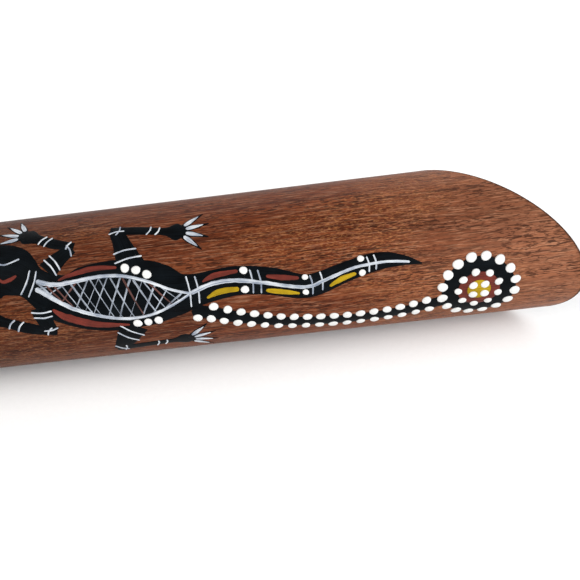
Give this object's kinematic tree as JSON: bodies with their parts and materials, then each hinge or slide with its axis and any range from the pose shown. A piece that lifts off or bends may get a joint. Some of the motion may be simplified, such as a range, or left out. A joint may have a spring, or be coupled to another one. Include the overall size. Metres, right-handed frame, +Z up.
{
  "type": "didgeridoo",
  "caption": "Small round wooden didgeridoo with an obliquely sawn bell, a beeswax mouthpiece and painted lizard, track and waterhole decoration.",
  "frame": {"origin": "centre of the opening the player blows into, on the wax rim's outer plane", "axes": "+X along the bore towards the bell, +Z up with the instrument lying down, -Y towards the longer side of the sawn bell and the painted side"},
  "size_m": [0.5, 0.0413, 0.0408],
  "materials": {
    "wood": "satin lacquer",
    "glue": "dried wood glue",
    "beeswax": "smooth wax",
    "black_paint": "brushed acrylic paint",
    "red_paint": "brushed acrylic paint",
    "yellow_paint": "brushed acrylic paint",
    "white_paint": "dotted acrylic paint"
  },
  "bodies": {
    "root": {"front_half_shell": "wood", "back_half_shell": "wood", "glue_line": "glue", "wax_mouthpiece": "beeswax", "lizard_silhouette": "black_paint", "lizard_red_strokes": "red_paint", "lizard_yellow_strokes": "yellow_paint", "lizard_white_lines": "white_paint", "lizard_dots": "white_paint", "bell_track_band": "black_paint", "bell_track_dots": "white_paint", "bell_waterhole_ground": "black_paint", "bell_waterhole_ring": "red_paint", "bell_waterhole_centre": "yellow_paint", "bell_waterhole_dots": "white_paint", "mouth_track_band": "black_paint", "mouth_track_dots": "white_paint", "mouth_waterhole_ground": "black_paint", "mouth_waterhole_ring": "red_paint", "mouth_waterhole_centre": "yellow_paint", "mouth_waterhole_dots": "white_paint"}
  },
  "joints": []
}
